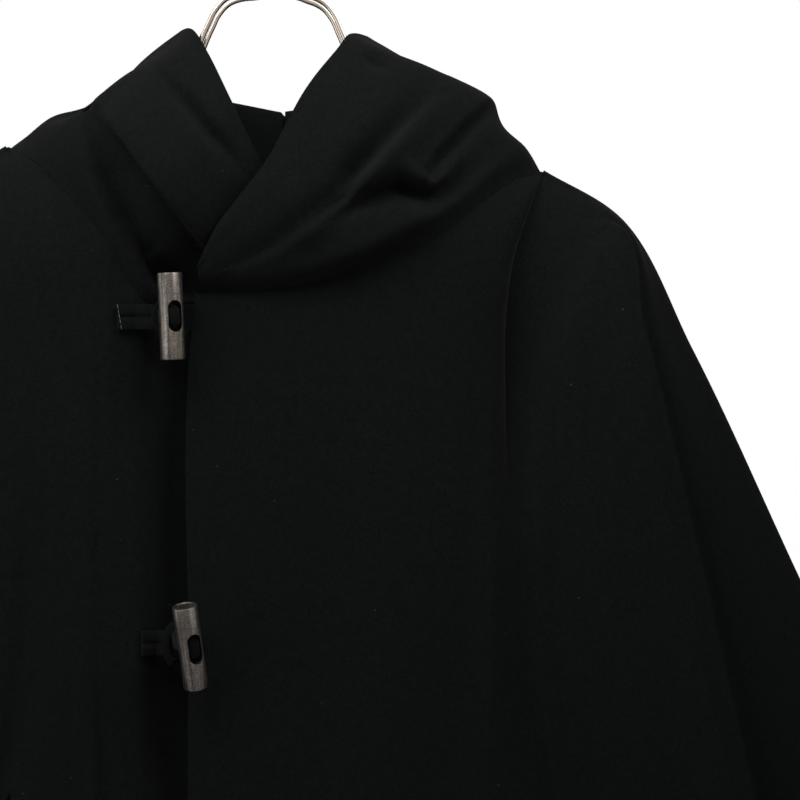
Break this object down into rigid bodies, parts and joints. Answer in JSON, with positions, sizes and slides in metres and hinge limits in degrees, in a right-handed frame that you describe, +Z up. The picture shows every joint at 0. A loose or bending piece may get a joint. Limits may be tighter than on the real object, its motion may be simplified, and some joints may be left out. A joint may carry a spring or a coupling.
{
  "type": "duffle coat on a hanger",
  "caption": "Hooded black wool duffle coat with wide sleeves and metal toggles, hanging on a polished two-rod hanger.",
  "frame": {"origin": "inner top of the hanger's hook, where a rail carries it", "axes": "+Z up, the coat's front faces -Y, +X is the wearer's left"},
  "size_m": [0.9109, 0.2255, 1.0745],
  "materials": {
    "wool_front_left": "brushed wool",
    "wool_front_right": "brushed wool",
    "wool_back": "brushed wool",
    "wool_sleeve_left": "brushed wool",
    "wool_sleeve_right": "brushed wool",
    "wool_hood_left": "brushed wool",
    "wool_hood_right": "brushed wool",
    "wool_strap_1": "brushed wool",
    "wool_strap_2": "brushed wool",
    "wool_loop_1": "brushed wool",
    "wool_loop_2": "brushed wool",
    "metal_toggle_1": "antique metal",
    "metal_toggle_2": "antique metal",
    "chrome_frame": "polished",
    "chrome_hook": "polished"
  },
  "bodies": {
    "root": {"front_left": "wool_front_left", "front_right": "wool_front_right", "back": "wool_back", "sleeve_left": "wool_sleeve_left", "sleeve_right": "wool_sleeve_right", "hood_left": "wool_hood_left", "hood_right": "wool_hood_right", "strap_1": "wool_strap_1", "strap_2": "wool_strap_2", "loop_1": "wool_loop_1", "loop_2": "wool_loop_2", "toggle_1": "metal_toggle_1", "toggle_2": "metal_toggle_2", "hanger_frame": "chrome_frame", "hanger_hook": "chrome_hook"}
  },
  "joints": []
}
